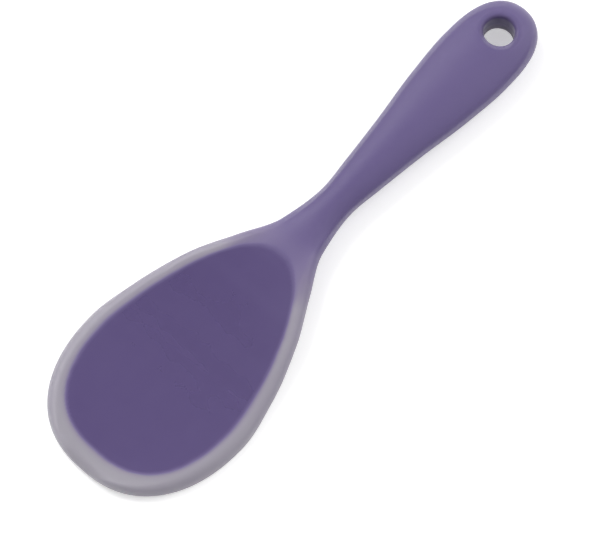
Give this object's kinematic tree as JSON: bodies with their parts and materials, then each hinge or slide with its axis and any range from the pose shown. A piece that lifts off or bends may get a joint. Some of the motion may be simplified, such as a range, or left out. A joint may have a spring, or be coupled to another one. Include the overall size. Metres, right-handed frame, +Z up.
{
  "type": "rice paddle",
  "caption": "Rice paddle: a stiff nylon core overmoulded with frosted translucent silicone, with a soft-rimmed oval blade, a slim neck and a swelling handle with a hanging hole.",
  "frame": {"origin": "on the table it lies on, under the middle of its length and width", "axes": "+X along the paddle, from the blade's tip to the handle's end; +Y across the blade; +Z up, out of the blade's dished face"},
  "size_m": [0.225, 0.07, 0.0138],
  "materials": {
    "nylon_core": "matte, moulded",
    "silicone": "frosted, translucent, satin"
  },
  "bodies": {
    "root": {"core": "nylon_core", "jacket": "silicone"}
  },
  "joints": []
}
